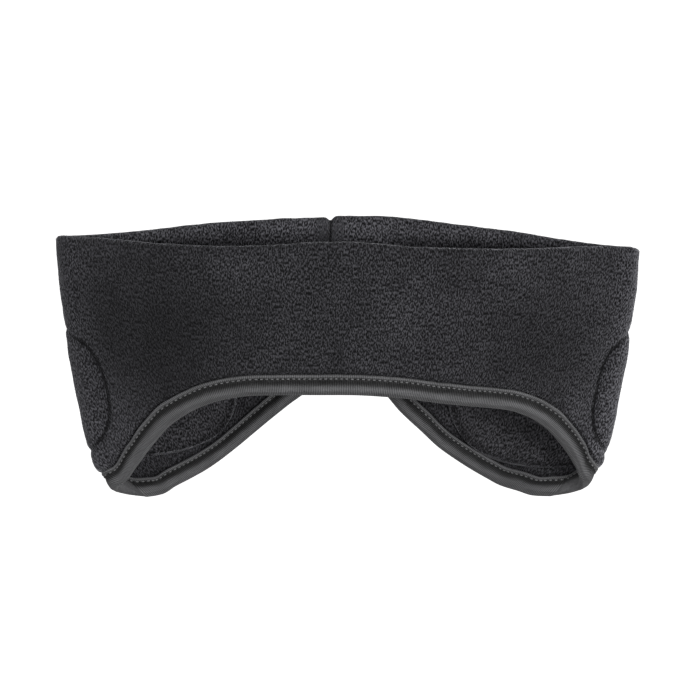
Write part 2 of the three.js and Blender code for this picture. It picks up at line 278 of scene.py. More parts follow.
def beside_fold(end, behind, z):
    """Where a point lies round the band, by its distance behind the middle of a side fold."""
    quarter = fold_radius(z) * math.pi / 2
    turned = min(max(behind / quarter, -1), 1) * FOLD_SHARE
    past = max(abs(behind) - quarter, 0) / reach(z)
    return end * (0.5 + turned + math.copysign(past, behind) * PANEL_SHARE)


def behind_fold(along, z):
    """The distance behind the middle of a side fold, the reverse of beside_fold."""
    from_fold = abs(along) - 0.5
    quarter = fold_radius(z) * math.pi / 2
    panel = max(abs(from_fold) - FOLD_SHARE, 0) / PANEL_SHARE
    turned = min(abs(from_fold) / FOLD_SHARE, 1) * quarter
    return math.copysign(turned + panel * reach(z), from_fold)


def pad_centre(pad):
    return SIDE_HEIGHT - pad[2] * FULL_HEIGHT


FAR = 99.0  # stands for any distance too far from the ear stitching to matter


def ear_line(along, z):
    """Distance from the nearest ear stitching (below 0 inside it), and how far round it that is."""
    if not 0.25 < abs(along) < 0.95:
        return FAR, 0.0
    pad = PADS["left" if along < 0 else "right"]
    _, back, _, half_length, half_height, above, below = pad
    wide, high = half_length - PAD_HEM, half_height - PAD_HEM
    x = (behind_fold(along, z) - back) / wide
    y = (z - pad_centre(pad)) / high
    power = above if y > 0 else below
    size = (abs(x) ** power + abs(y) ** power) ** (1 / power)
    if size < 0.05:
        return -FAR, 0.0
    slope = math.hypot(abs(x) ** (power - 1) / wide, abs(y) ** (power - 1) / high) * size ** (1 - power)
    return (size - 1) / slope, math.atan2(y, x) * (wide + high) / 2


def round_length(along):
    """Millimetres round the band from the front's centre."""
    return along / PANEL_SHARE * TOP_REACH


def tape_stations(count):
    """Even places round the band, from the seam to the seam again."""
    return [wrap(SEAM_AT + 2 * k / count) if k < count else SEAM_AT for k in range(count + 1)]


def tape_edge_length(places):
    """Millimetres along the lower edge at each place, and the sine of its slope."""
    points = [plain_middle(along, hem(along)) for along in places]
    lengths, slopes = [0.0], []
    for a, b in zip(points, points[1:]):
        lengths.append(lengths[-1] + (b - a).length)
        slopes.append((b.z - a.z) / max((b - a).length, 1e-6))
    return lengths, slopes + slopes[-1:]


STITCH_PITCH = 2.2
STITCH_COLUMNS = 1200
edge_length = tape_edge_length(tape_stations(STITCH_COLUMNS))[0][-1]
STITCH_STEP = edge_length / round(edge_length / STITCH_PITCH)  # so that a whole number goes round
TAPE_CLOTH_START = 20.0  # where the tape's cloth place starts at the seam
HOLE_PHASE = math.pi / 2 - TAPE_CLOTH_START / STITCH_STEP * 2 * math.pi

# Pieces


def add_piece(name, bm, material, replaced=()):
    mesh = bpy.data.meshes.new(name)
    bm.to_mesh(mesh)
    bm.free()
    mesh.materials.append(material)
    mesh.shade_smooth()
    piece = bpy.data.objects.new(name, mesh)
    bpy.context.scene.collection.objects.link(piece)
    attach(piece, "root")
    if replaced:
        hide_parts(*replaced)
    return piece


def tube_of_cloth(places, count, point, cloth_place, marks):
    """A closed ring of cloth: a grid whose rows run once round the section at each place."""
    bm = bmesh.new()
    bmesh.ops.create_grid(bm, x_segments=len(places) - 1, y_segments=count, size=1.0)
    uv = bm.loops.layers.uv.new("cloth")
    layers = {name: bm.verts.layers.float.new(name) for name in marks}
    grid = {}
    for vert in bm.verts:
        i = round((vert.co.x + 1) / 2 * (len(places) - 1))
        grid[vert] = (i, round((vert.co.y + 1) / 2 * count))
    for face in bm.faces:
        for loop in face.loops:
            loop[uv].uv = cloth_place(*grid[loop.vert])
    for vert, (i, j) in grid.items():
        vert.co = point(i, j) * MM
        for name, layer in layers.items():
            vert[layer] = marks[name](i, j)
    bmesh.ops.remove_doubles(bm, verts=bm.verts, dist=1e-6)
    bmesh.ops.recalc_face_normals(bm, faces=bm.faces)
    return bm


# Materials


def new_material(name):
    material = bpy.data.materials.new(name)
    material.use_nodes = True
    tree = material.node_tree
    return material, tree, tree.nodes["Principled BSDF"]


def set_inputs(node, **values):
    """Sets a node's inputs by name, with an underscore for each space."""
    for name, value in values.items():
        node.inputs[name.replace("_", " ")].default_value = value


def math_node(tree, operation, first, second=None):
    node = tree.nodes.new("ShaderNodeMath")
    node.operation = operation
    for socket, value in zip(node.inputs, (first, second)):
        if value is None:
            continue
        if isinstance(value, (int, float)):
            socket.default_value = value
        else:
            tree.links.new(value, socket)
    return node.outputs[0]


def plus(tree, total, value, factor):
    """The total and a value times a factor."""
    return math_node(tree, "ADD", total, math_node(tree, "MULTIPLY", value, factor))


def minus(tree, total, value, factor=1.0):
    return plus(tree, total, value, -factor)


def remap(tree, value, from_low, from_high, to_low, to_high, smoothly=True):
    node = tree.nodes.new("ShaderNodeMapRange")
    node.interpolation_type = "SMOOTHSTEP" if smoothly else "LINEAR"
    tree.links.new(value, node.inputs["Value"])
    set_inputs(node, From_Min=from_low, From_Max=from_high, To_Min=to_low, To_Max=to_high)
    return node.outputs["Result"]


def scaled_place(tree, place, scale):
    node = tree.nodes.new("ShaderNodeMapping")
    tree.links.new(place, node.inputs["Vector"])
    set_inputs(node, Scale=scale)
    return node.outputs["Vector"]


def noise_value(tree, place, detail=2.0, rough=0.5, output="Fac"):
    node = tree.nodes.new("ShaderNodeTexNoise")
    tree.links.new(place, node.inputs["Vector"])
    set_inputs(node, Scale=1.0, Detail=detail, Roughness=rough)
    return node.outputs[output]


def cloth_millimetres(tree):
    """The cloth place of a mesh, which is kept in metres."""
    cloth = tree.nodes.new("ShaderNodeUVMap")
    cloth.uv_map = "cloth"
    return scaled_place(tree, cloth.outputs["UV"], (1000.0, 1000.0, 1.0))


def object_place(tree, scale):
    where = tree.nodes.new("ShaderNodeTexCoord")
    return scaled_place(tree, where.outputs["Object"], (scale, scale, scale))


def attribute(tree, name):
    node = tree.nodes.new("ShaderNodeAttribute")
    node.attribute_name = name
    return node.outputs["Fac"]


def shade(tree, value, stops):
    """A colour between two or three stops of place and colour."""
    node = tree.nodes.new("ShaderNodeValToRGB")
    elements = node.color_ramp.elements
    for element, (place, colour) in zip(elements[:], (stops[0], stops[-1])):
        element.position, element.color = place, (*colour, 1.0)
    for place, colour in stops[1:-1]:
        elements.new(place).color = (*colour, 1.0)
    tree.links.new(value, node.inputs["Fac"])
    return node.outputs["Color"]


def add_bump(tree, shader, height, strength, depth):
    """Lifts the surface by a height; the depth is in metres."""
    node = tree.nodes.new("ShaderNodeBump")
    set_inputs(node, Strength=strength, Distance=depth)
    tree.links.new(height, node.inputs["Height"])
    tree.links.new(node.outputs["Normal"], shader.inputs["Normal"])


def bands(tree, place, scale):
    """Even bands along the cloth, as a sine."""
    node = tree.nodes.new("ShaderNodeTexWave")
    node.wave_type, node.bands_direction, node.wave_profile = "BANDS", "X", "SIN"
    tree.links.new(place, node.inputs["Vector"])
    set_inputs(node, Scale=scale)
    return node


# How many curls and so on go to the millimetre, round the band and up it.
CURL_SCALE = (1.9, 0.85, 1.0)
TUFT_SCALE = (2.7, 0.6, 1.0)
WISP_SCALE = (3.8, 2.4, 1.0)
CLUMP_SCALE = (0.2, 0.16, 1.0)
WANDER_SCALE = (0.9, 0.7, 1.0)
PATCH_SCALE = (0.07, 0.05, 1.0)
WANDER = (0.7, 0.9, 0.0)  # how far the curls wander, in millimetres


def make_nap_group():
    """The brushed nap of fleece: small curled tufts with gaps between them, clumped here and there. It
    takes a place in millimetres on the cloth and puts out how high the nap stands and how light it is,
    darker in the gaps between the tufts as painted shade."""
    tree = bpy.data.node_groups.new("fleece_nap", "ShaderNodeTree")
    for name, way, kind in (
        ("Place", "INPUT", "Vector"),
        ("Clumping", "INPUT", "Float"),
        ("Height", "OUTPUT", "Float"),
        ("Lightness", "OUTPUT", "Float"),
    ):
        tree.interface.new_socket(name, in_out=way, socket_type="NodeSocket" + kind)
    start, end = tree.nodes.new("NodeGroupInput"), tree.nodes.new("NodeGroupOutput")
    place = start.outputs["Place"]
    # The curls wander off their places, so that they lie like short bent threads.
    wander = tree.nodes.new("ShaderNodeVectorMath")
    wander.operation = "MULTIPLY_ADD"
    strays = noise_value(tree, scaled_place(tree, place, WANDER_SCALE), 1.0, 0.5, "Color")
    tree.links.new(strays, wander.inputs[0])
    wander.inputs[1].default_value = WANDER
    tree.links.new(place, wander.inputs[2])
    curls = noise_value(tree, scaled_place(tree, wander.outputs[0], CURL_SCALE), 0.0)
    tufts = noise_value(tree, scaled_place(tree, place, TUFT_SCALE), 1.0)
    wisps = noise_value(tree, scaled_place(tree, place, WISP_SCALE), 1.0)
    clumps = noise_value(tree, scaled_place(tree, place, CLUMP_SCALE), 2.0)
    height = math_node(tree, "MULTIPLY", remap(tree, curls, 0.28, 0.72, 0.0, 1.0, False), 0.6)
    height = plus(tree, plus(tree, height, tufts, 0.45), wisps, 0.25)
    clumps = math_node(tree, "SUBTRACT", clumps, 0.5)
    light = plus(tree, remap(tree, height, 0.34, 0.9, 0.0, 1.0, False), clumps, start.outputs["Clumping"])
    tree.links.new(height, end.inputs["Height"])
    tree.links.new(light, end.inputs["Lightness"])
    return tree


nap_group = make_nap_group()
CLUMPING = 0.3


def fleece_material(name, dark, middle, light, bump_depth, sheen, ear_groove_shade=False):
    """Fleece in three shades from the gaps in its nap, darkened as painted shade, to the tips of its tufts.
    """
    material, tree, shader = new_material(name)
    nap = tree.nodes.new("ShaderNodeGroup")
    nap.node_tree = nap_group
    place = cloth_millimetres(tree)
    tree.links.new(place, nap.inputs["Place"])
    set_inputs(nap, Clumping=CLUMPING)
    # Painted shade: darker in the seam, along the ear stitching, just above the tape and along a pad's
    # stitching.
    lightness = minus(tree, nap.outputs["Lightness"], attribute(tree, "painted_crease_shade"), 0.3)
    if ear_groove_shade:
        # Painted shade along the groove of the ear stitching; the distance is in centimetres.
        beside = math_node(tree, "ABSOLUTE", attribute(tree, "ear_distance"))
        lightness = minus(tree, lightness, remap(tree, beside, 0.03, 0.1, 0.55, 0.0))
    colour = shade(tree, lightness, [(0.08, dark), (0.5, middle), (0.95, light)])
    strength = tree.nodes.new("ShaderNodeVectorMath")
    strength.operation = "SCALE"
    tree.links.new(colour, strength.inputs["Vector"])
    broad = noise_value(tree, scaled_place(tree, place, PATCH_SCALE), 3.0, 0.6)
    patches = remap(tree, broad, 0.3, 0.7, 0.8, 1.16, False)
    # Painted light and shade: the colour is scaled lighter or darker by the broad shade and sheen spots set
    # on the shell.
    painted_light_scale = remap(tree, attribute(tree, "painted_light"), -0.7, 2.0, 0.3, 3.0, False)  # 1 where the lay is 0
    tree.links.new(math_node(tree, "MULTIPLY", patches, painted_light_scale), strength.inputs["Scale"])
    tree.links.new(strength.outputs["Vector"], shader.inputs["Base Color"])
    add_bump(tree, shader, nap.outputs["Height"], 1.0, bump_depth)
    set_inputs(shader, Roughness=0.95, Specular_IOR_Level=0.15, Sheen_Weight=sheen, Sheen_Roughness=0.45)
    set_inputs(shader, Sheen_Tint=(0.8, 0.8, 0.86, 1.0))
    return material


fleece = fleece_material(
    "charcoal_fleece",
    (0.0015, 0.0015, 0.0017),
    (0.02, 0.0197, 0.0222),
    (0.088, 0.087, 0.0965),
    bump_depth=0.0006,
    sheen=0.65,
    ear_groove_shade=True,
)
# Painted light: the same fleece as the band, made lighter to stand in for the light that reaches the pads
# inside.
pad_fleece_painted_lighter = fleece_material(
    "ear_pad_fleece_painted_lighter",
    (0.003, 0.003, 0.0033),
    (0.033, 0.0324, 0.0358),
    (0.105, 0.1035, 0.1135),
    bump_depth=0.0005,
    sheen=0.5,
)


def tape_material():
    """Ribbed knit tape with a satin face: fine ribs square to its edge, and needle holes."""
    material, tree, shader = new_material("ribbed_tape")
    place = cloth_millimetres(tree)
    ribs = bands(tree, place, 0.43)
    set_inputs(ribs, Distortion=1.4, Detail=2.0, Detail_Scale=1.6)
    loops = noise_value(tree, scaled_place(tree, place, (1.6, 3.4, 1.0)), 2.0, 0.6)
    shine = noise_value(tree, scaled_place(tree, place, (0.12, 0.5, 1.0)))
    height = math_node(tree, "MULTIPLY", ribs.outputs["Fac"], 0.7)
    height = plus(tree, height, loops, 0.5)
    light = plus(tree, math_node(tree, "MULTIPLY", height, 0.5), shine, 0.3)
    # A wave texture has one band for each 2 pi / 20 of its scaled place.
    holes = bands(tree, place, 2 * math.pi / STITCH_STEP / 20)
    set_inputs(holes, Phase_Offset=HOLE_PHASE)
    needle = remap(tree, holes.outputs["Fac"], 0.55, 0.95, 0.0, 0.4)
    needle = math_node(tree, "MULTIPLY", needle, attribute(tree, "beside_stitches"))
    light = minus(tree, minus(tree, light, attribute(tree, "painted_crease_shade"), 0.44), needle)
    # Painted highlight along the tape's folded free edge and on its turn under the hem.
    light = plus(tree, light, attribute(tree, "painted_fold_highlight"), 0.08)
    stops = [(0.05, (0.003, 0.003, 0.0031)), (0.35, (0.08, 0.08, 0.0825)), (0.85, (0.31, 0.31, 0.322))]
    tree.links.new(shade(tree, light, stops), shader.inputs["Base Color"])
    add_bump(tree, shader, height, 0.8, 0.00025)
    tree.links.new(remap(tree, loops, 0.3, 0.7, 0.5, 0.68), shader.inputs["Roughness"])
    set_inputs(shader, Specular_IOR_Level=0.4, Sheen_Weight=0.15, Sheen_Roughness=0.4)
    return material


def thread_material():
    """Twisted sewing thread, dark grey."""
    material, tree, shader = new_material("sewing_thread")
    twist = noise_value(tree, object_place(tree, 2600.0), 2.0, 0.6)
    colour = shade(tree, twist, [(0.3, (0.12, 0.12, 0.123)), (0.75, (0.4, 0.4, 0.41))])
    tree.links.new(colour, shader.inputs["Base Color"])
    add_bump(tree, shader, twist, 1.0, 0.0001)
    set_inputs(shader, Roughness=0.55)
    return material


def fibre_material():
    """Loose fibres, lighter here and there."""
    material, tree, shader = new_material("nap_fibre")
    spread = noise_value(tree, object_place(tree, 400.0))
    colour = shade(tree, spread, [(0.35, (0.018, 0.018, 0.019)), (0.7, (0.06, 0.06, 0.064))])
    tree.links.new(colour, shader.inputs["Base Color"])
    set_inputs(shader, Roughness=0.9, Specular_IOR_Level=0.2, Sheen_Weight=0.3)
    return material


ribbed_tape = tape_material()
thread = thread_material()
fibre = fibre_material()

# The fleece band

STEP = 1.02  # between the stations round the band
SEAM_STEP = 0.4  # between those beside the seam
SEAM_STATIONS = 16  # on each side of it


def band_stations():
    """Places round the band from the seam to the seam again, closer together beside it."""
    half = PANEL_SHARE / TOP_REACH
    near = [SEAM_AT + k * SEAM_STEP * half for k in range(SEAM_STATIONS)]
    far = [SEAM_AT + 2 - k * SEAM_STEP * half for k in reversed(range(SEAM_STATIONS))]
    count = round((far[0] - near[-1]) / (STEP * half))
    between = [near[-1] + (far[0] - near[-1]) * k / count for k in range(1, count)]
    return [wrap(place) if place < SEAM_AT + 2 else SEAM_AT for place in near + between + far]


def station_facts(places):
    """For each place, the heights of the fleece's lower edge, the tape's upper edge and the rim's bend."""
    facts = []
    for along in places:
        slant = lean(along)
        low = hem(along) + (TAPE + 2 * GAP) * slant
        free = hem(along) + (TAPE_HEIGHT + GAP) * slant
        facts.append((along, low, free, rim(along) - WALL / 2))
    return facts


# The band's section, up the outside, over the rim and down the inside: the part it belongs to, and how far
# along that part.
UNDER_TAPE = [0.0, 0.12, 0.5]
OUTSIDE = [("outside", k / 92) for k in range(93)]
OVER_RIM = [("rim", k / 10) for k in range(1, 10)]
INSIDE = [("inside", 1 - k / 44) for k in range(45)]
SECTION = [("grip_out", t) for t in UNDER_TAPE] + OUTSIDE + OVER_RIM + INSIDE
SECTION += [("grip_in", t) for t in reversed(UNDER_TAPE)] + [("grip_out", 0.0)]


# How high each stands or how deep it sinks, then where it is and how wide, in millimetres.
SWELL_SPAN = 15
SWELLS = [(1, 0.3), (3.1, 0.16), (8.3, 0.08)]  # how many of them to SWELL_SPAN, and how high
EAR_SWELL, EAR_SWELL_WIDTH = 0.35, 12  # the outside over a pad
EAR_GROOVE, EAR_GROOVE_WIDTH = 0.75, 1.1  # the line of the ear stitching
EAR_VALLEY, EAR_VALLEY_WIDTH = {-1: 0.25, 1: 0.55}, 4.0  # the softer valley beside it, left and right
GATHER, GATHER_PITCH, GATHER_AT, GATHER_WIDTH = 0.12, 6.4, 2.8, 2.2  # small puckers along it
UNDER_PAD, UNDER_PAD_WIDTH, UNDER_PAD_SHARE = -0.15, 4, 0.3  # the inside lies flatter under a pad
SEAM_SWELL, SEAM_SWELL_AT, SEAM_SWELL_WIDTH = 0.35, 4.2, 2.4  # on both sides of the seam
ROLL, ROLL_AT, ROLL_WIDTH, ROLL_INSIDE = 0.5, 4.5, 3.6, 0.5  # above the tape; half as much inside
FOLD_SWELL, FOLD_SWELL_AT, FOLD_SWELL_WIDTH = 0.15, 1.5, 4  # just above the tape at a fold
FOLD_PINCH, FOLD_PINCH_AT, FOLD_PINCH_WIDTH = 0.65, -10, 16  # around this height at a fold
SEAM_SQUEEZE, SEAM_SQUEEZE_WIDTH = 0.7, 0.9  # the share of its thickness the fleece loses at the seam
FOLD_SQUEEZE, FOLD_REACH = 0.3, 0.035  # the same between the tape's legs at a fold; its width as along
LEAST_WALL = 0.25
RIM_UNEVEN, RIM_UNEVEN_SPAN = 0.12, 6  # how much the rim's height over its bend varies, as a share


def cloth_relief(along, z, side):
    """How far the fleece swells or sinks, apart from its main form."""
    spot = Vector((round_length(along) / SWELL_SPAN, z / SWELL_SPAN, side * 9.0))
    swell = sum(high * noise.noise(spot * fine) for fine, high in SWELLS)
    distance, round_line = ear_line(along, z)
    if side > 0:
        swell += EAR_SWELL * smooth(0, EAR_SWELL_WIDTH, -distance)
        valley = EAR_VALLEY[side_of(along)] * bell(distance, EAR_VALLEY_WIDTH)
        swell -= EAR_GROOVE * bell(distance, EAR_GROOVE_WIDTH) + valley
        gather = math.cos(round_line * 2 * math.pi / GATHER_PITCH + 1.3 * noise.noise(spot * 2))
        swell += GATHER * gather * bell(abs(distance) - GATHER_AT, GATHER_WIDTH)
    elif distance < UNDER_PAD_WIDTH:
        swell = UNDER_PAD + UNDER_PAD_SHARE * swell
    return swell + SEAM_SWELL * bell(abs(from_seam(along)) - SEAM_SWELL_AT, SEAM_SWELL_WIDTH)


def at_fold(along):
    """1 at the middle of a side fold, falling off round the band."""
    return bell(abs(along) - 0.5, FOLD_REACH)


def pressed(along):
    """Half the thickness the fleece keeps between the legs of the tape."""
    return PRESSED / 2 * (1 - FOLD_SQUEEZE * at_fold(along))


def wall_offset(along, z, free, side):
    """How far a face of the fleece lies off the wall's middle."""
    lift = smooth(-0.5, 1.8, z - free)
    thick = pressed(along) + (WALL / 2 - pressed(along)) * lift
    roll = ROLL * bell(z - free - ROLL_AT, ROLL_WIDTH) * (1 if side > 0 else ROLL_INSIDE)
    thick += lift * (roll + cloth_relief(along, z, side))
    if side > 0:
        swell = FOLD_SWELL * bell(z - free - FOLD_SWELL_AT, FOLD_SWELL_WIDTH)
        thick += lift * at_fold(along) * (swell - FOLD_PINCH * bell(z - FOLD_PINCH_AT, FOLD_PINCH_WIDTH))
    squeezed = thick * (1 - SEAM_SQUEEZE * bell(from_seam(along), SEAM_SQUEEZE_WIDTH))
    return side * max(squeezed, LEAST_WALL)


def band_point(facts, j):
    """A point of the fleece shell; its lower edge, hidden in the tape, tapers."""
    along, low, free, top = facts
    part, share = SECTION[j]
    if part.startswith("grip"):
        side = 1 if part == "grip_out" else -1
        taper = 0.3 if share == 0 else 1
        return on_wall(along, low + (free - low) * share, side * pressed(along) * taper)
    if part == "rim":
        angle = math.pi * share
        across = wall_offset(along, top, free, 1 if share < 0.5 else -1)
        lift = 1 + RIM_UNEVEN * noise.noise(Vector((round_length(along) / RIM_UNEVEN_SPAN, 4.0, 0)))
        return on_wall(along, top + WALL / 2 * lift * math.sin(angle), abs(across) * math.cos(angle))
    z = free + (top - free) * share
    return on_wall(along, z, wall_offset(along, z, free, 1 if part == "outside" else -1))


CLOTH_LEFT = 0.02  # metres; with CLOTH_LOW it keeps the cloth place above 0
CLOTH_LOW = 75


def band_cloth_place(facts, step, j):
    """Metres round the band, and metres up the outside and down the inside."""
    _, low, free, top = facts
    part, share = SECTION[j]
    around = CLOTH_LEFT + step * 2 * TOP_REACH / PANEL_SHARE * MM
    over_rim = math.pi * WALL / 2
    if j == len(SECTION) - 1:
        return around, (CLOTH_LOW + 2 * top + over_rim - low + 2) * MM
    z = low + (free - low) * share if part.startswith("grip") else free + (top - free) * share
    if part == "rim":
        return around, (CLOTH_LOW + top + over_rim * share) * MM
    if part in ("outside", "grip_out"):
        return around, (CLOTH_LOW + z) * MM
    return around, (CLOTH_LOW + 2 * top + over_rim - z) * MM


def make_band():
    """The fleece shell, with what its material needs to know at each point."""
    places = band_stations()
    facts = station_facts(places)
    points = {}
    for i in range(len(places) - 1):
        for j in range(len(SECTION) - 1):
            points[i, j] = band_point(facts[i], j)
    last_i, last_j = len(places) - 1, len(SECTION) - 1

    # Painted shade in the creases: at the back seam, along the ear stitching and just above the tape,
    # outside and inside.
    def painted_crease_shade(i, j):
        along, _, free, top = facts[i]
        part, share = SECTION[j]
        near = 2.2 * bell(from_seam(along), SEAM_SQUEEZE_WIDTH)
        if part == "outside":
            distance = ear_line(along, free + (top - free) * share)[0]
            near = max(near, 0.35 * bell(distance, 2.0), bell((top - free) * share, 1.6))
        elif part == "inside":
            near = max(near, bell((top - free) * share, 1.8))
        return near

    def ear_distance(i, j):
        along, _, free, top = facts[i]
        part, share = SECTION[j]
        if part != "outside":
            return 1.0
        return min(max(ear_line(along, free + (top - free) * share)[0] / 10, -1), 1)

    # Painted light and shade on the shell: broad shade and sheen spots outside, a darker rim top, and a
    # lighter inner face.
    def painted_light_and_shade(i, j):
        along, _, free, top = facts[i]
        part, share = SECTION[j]
        z = free + (top - free) * share
        if part == "outside":
            return spots_at(PAINTED_LIGHT_SPOTS, along, z)
        if part == "rim":
            # Painted shade on the rim's top over the brow.
            fade = 1 - smooth(RIM_SHADE_FADES, RIM_SHADE_ENDS, abs(along))
            rim_shade = RIM_PAINTED_SHADE * fade * math.sin(math.pi * share)
            return spots_at(PAINTED_LIGHT_SPOTS, along, top) * (1 - share) + INSIDE_PAINTED_LIGHT * share + rim_shade
        if part != "inside":
            return 0.0
        # Painted light up the inner face, over a painted shadow stripe below it.
        rise = INSIDE_PAINTED_LIGHT * smooth(INSIDE_PAINTED_LIGHT_FROM, INSIDE_PAINTED_LIGHT_TO, z)
        return rise + PAINTED_SHADOW_STRIPE * bell(z - STRIPE_AT, STRIPE_WIDTH)

    bm = tube_of_cloth(
        places,
        last_j,
        lambda i, j: points[i % last_i, j % last_j],
        lambda i, j: band_cloth_place(facts[i], i / last_i, j),
        {"painted_crease_shade": painted_crease_shade, "painted_light": painted_light_and_shade, "ear_distance": ear_distance},
    )
    return add_piece("fleece_shell", bm, fleece, ["fleece_band"])


# The tape and its stitches

TAPE_COLUMNS = 960
STITCH_HEIGHT = 0.775  # share of the tape's leg where the stitches run
LEG_STEPS = 27
UNDER_STEPS = 7
# The tape's section: down the outside, under the hem, up the inside and round the channel that the fleece
# sits in, whose places run from the inner free edge (0) to the outer one (2).
TAPE_SECTION = [("out", 1 - k / LEG_STEPS) for k in range(LEG_STEPS + 1)]
TAPE_SECTION += [("under", k / (UNDER_STEPS + 1)) for k in range(1, UNDER_STEPS + 1)]
TAPE_SECTION += [("in", k / LEG_STEPS) for k in range(LEG_STEPS + 1)]
TAPE_SECTION += [("channel", t) for t in (0.0, 0.5, 0.95, 1.05, 1.5, 2.0)] + [("out", 1.0)]


LEG_FLAT, LEG_FLAT_TOP = 0.55, 0.15  # the shares it loses at a side fold, and more toward its free edge
PUCKER, PUCKER_STITCHES, PUCKER_WIDTH = 0.08, 3, 0.12  # the stitches draw it in, in shares of TAPE and leg
EASE, EASE_SPAN = 0.1, 9  # and it is never quite even: share of TAPE, millimetres
WAVE, WAVE_SPAN = 0.12, 5  # its free edge wavers, in millimetres


def leg_thickness(along, share):
    """The leg's thickness there; it is drawn flat where it turns round a side fold."""
    return leg_out(share) * (1 - at_fold(along) * (LEG_FLAT + LEG_FLAT_TOP * smooth(0.5, 0.9, share)))


def tape_point(along, slant, length, j):
    part, share = TAPE_SECTION[j]
    base = pressed(along) + GAP
    edge = hem(along)
    turn = TURN * slant
    height = TAPE_HEIGHT * slant - turn
    if part in ("out", "in"):
        way = 1 if part == "out" else -1
        pucker = PUCKER * math.cos(2 * math.pi * length / (PUCKER_STITCHES * STITCH_PITCH))
        pucker *= bell(share - STITCH_HEIGHT, PUCKER_WIDTH)
        ease = EASE * noise.noise(Vector((length / EASE_SPAN, way * 3.0, share * 2)))
        out = base + (leg_thickness(along, share) + pucker + ease) * TAPE
        wave = WAVE * noise.noise(Vector((length / WAVE_SPAN, way * 7.0, 0))) * share
        return on_wall(along, edge + turn + (share + wave / TAPE_HEIGHT) * height, way * out)
    if part == "under":
        angle = math.pi * share
        out = base + leg_thickness(along, 0.0) * TAPE
        return on_wall(along, edge + turn * (1 - math.sin(angle)), out * math.cos(angle))
    way = -1 if share < 1 else 1
    deep = min(share, 2 - share) / 0.95
    floor = TAPE * 0.3 * slant
    return on_wall(along, edge + turn + height - (height - floor) * deep, way * (base - 0.1))


def make_tape():
    """The folded tape and its length, with what its material needs to know at each point."""
    places = tape_stations(TAPE_COLUMNS)
    lengths, slopes = tape_edge_length(places)
    slants = [lean(along) for along in places]
    last_i, last_j = len(places) - 1, len(TAPE_SECTION) - 1
    points = {}
    for i in range(last_i):
        for j in range(last_j):
            points[i, j] = tape_point(places[i], slants[i], lengths[i], j)
    acrosses = [0.0]
    for j in range(1, last_j + 1):
        acrosses.append(acrosses[-1] + (points[0, j % last_j] - points[0, j - 1]).length)

    def cloth_place(i, j):
        part, share = TAPE_SECTION[j]
        up = share * TAPE_HEIGHT * slants[i] if part in ("out", "in") else 0.0
        return (TAPE_CLOTH_START + lengths[i] + up * slopes[i]) * MM, (10 + acrosses[j]) * MM

    # Painted shade in the trough below the tape's row of stitches.
    def painted_crease_shade(i, j):
        part, share = TAPE_SECTION[j]
        if part not in ("out", "in"):
            return 0.0
        return smooth(0.3, 0.66, share) * (1 - smooth(0.76, 0.84, share))

    def beside_stitches(i, j):
        part, share = TAPE_SECTION[j]
        return bell(share - STITCH_HEIGHT + 0.02, 0.06) if part in ("out", "in") else 0.0

    # Painted highlight on the tape's folds: its free edge and two lines on its turn under the hem.
    def painted_fold_highlight(i, j):
        part, share = TAPE_SECTION[j]
        if part == "under":
            return bell(share - 0.2, 0.1) + bell(share - 0.8, 0.1)
        return bell(share - 0.955, 0.035) if part in ("out", "in") else 0.0

    bm = tube_of_cloth(
        places,
        last_j,
        lambda i, j: points[i % last_i, j % last_j],
        cloth_place,
        {"painted_crease_shade": painted_crease_shade, "beside_stitches": beside_stitches, "painted_fold_highlight": painted_fold_highlight},
    )
    return add_piece("folded_tape", bm, ribbed_tape, ["edge_binding"]), lengths[-1]


STITCH_LONG, STITCH_THICK = 1.5, 0.55
STITCH_LIFT = 0.12  # how far the thread's middle lies off the tape


def add_stitch(bm, centre, forward, out, long, tilt):
    """A short rounded dash of thread."""
    beside = out.cross(forward).normalized()
    over = forward.cross(beside)
    turned = Matrix((forward, beside, over)).transposed() @ Matrix.Rotation(tilt, 3, "Z")
    size = Matrix.Diagonal((long / 2, STITCH_THICK / 2, STITCH_THICK / 2))
    place = Matrix.Translation(centre * MM) @ (turned @ size * MM).to_4x4()
    bmesh.ops.create_uvsphere(bm, u_segments=6, v_segments=5, radius=1.0, matrix=place)


def stitch_spot(along, way):
    z = hem(along) + (TURN + STITCH_HEIGHT * (TAPE_HEIGHT - TURN)) * lean(along)
    out = pressed(along) + GAP + leg_thickness(along, STITCH_HEIGHT) * TAPE + STITCH_LIFT
    return on_wall(along, z, way * out)


def make_stitches():
    """A stitch between every two needle holes, outside and inside, where the tape's cloth place says."""
    rng = random.Random(11)
    bm = bmesh.new()
    places = tape_stations(STITCH_COLUMNS)
    shifts = []
    for along, length, slope in zip(places, *tape_edge_length(places)):
        shifts.append(length + STITCH_HEIGHT * TAPE_HEIGHT * lean(along) * slope)
    at = 0
    want = math.ceil(shifts[0] / STITCH_STEP) * STITCH_STEP + STITCH_STEP / 2
    while want < shifts[-1]:
        while at < len(places) - 2 and shifts[at + 1] < want:
            at += 1
        share = min(max((want - shifts[at]) / max(shifts[at + 1] - shifts[at], 1e-6), 0), 1)
        along = wrap(places[at] + wrap(places[at + 1] - places[at]) * share)
        for way in (1, -1):
            centre = stitch_spot(along, way)
            ahead, behind = (stitch_spot(wrap(along + step), way) for step in (0.002, -0.002))
            out = (centre - on_wall(along, centre.z, 0)).normalized()
            long = STITCH_LONG * rng.uniform(0.9, 1.05)
            add_stitch(bm, centre, (ahead - behind).normalized(), out, long, rng.uniform(-0.12, 0.12))
        want += STITCH_STEP
    bmesh.ops.recalc_face_normals(bm, faces=bm.faces)
    return add_piece("tape_stitches", bm, thread)


# The ear pads

PAD_COLUMNS, PAD_ROWS = 60, 44
PAD_MOVE = 1.6  # the most that the stuffing may push the cloth out
